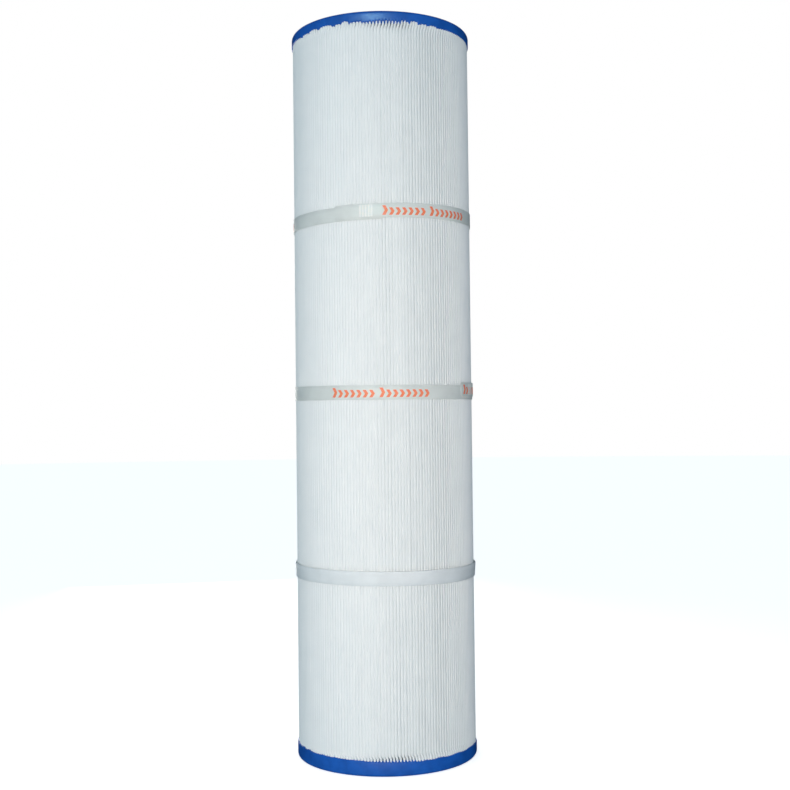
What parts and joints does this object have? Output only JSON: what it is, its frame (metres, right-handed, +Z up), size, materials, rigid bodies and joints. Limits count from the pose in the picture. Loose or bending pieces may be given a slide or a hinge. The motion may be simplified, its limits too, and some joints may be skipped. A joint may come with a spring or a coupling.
{
  "type": "filter cartridge",
  "caption": "Long cylindrical pleated filter cartridge with moulded end caps open through the middle, plastic hold-down bands and a perforated core.",
  "frame": {"origin": "centre of the lower end cap's rest face", "axes": "+Z up along the cartridge; -Y is the side seen from the front"},
  "size_m": [0.1782, 0.1784, 0.716],
  "materials": {
    "cap": "cast polyurethane, satin blue",
    "media": "thermally bonded non-woven polyester, matt white",
    "band": "translucent off-white strip, printed with an orange pattern",
    "adhesive": "clear hot-melt adhesive",
    "core": "moulded white plastic"
  },
  "bodies": {
    "root": {"end_cap_bottom": "cap", "end_cap_top": "cap", "media_pleats": "media", "media_seam": "adhesive", "band_upper": "band", "band_middle": "band", "band_lower": "band", "band_adhesive_upper": "adhesive", "band_adhesive_middle": "adhesive", "band_adhesive_lower": "adhesive", "band_weld_upper": "adhesive", "band_weld_middle": "adhesive", "band_weld_lower": "adhesive", "core_section_1": "core", "core_section_2": "core", "core_section_3": "core", "core_section_4": "core", "core_section_5": "core", "core_section_6": "core", "core_section_7": "core"}
  },
  "joints": []
}
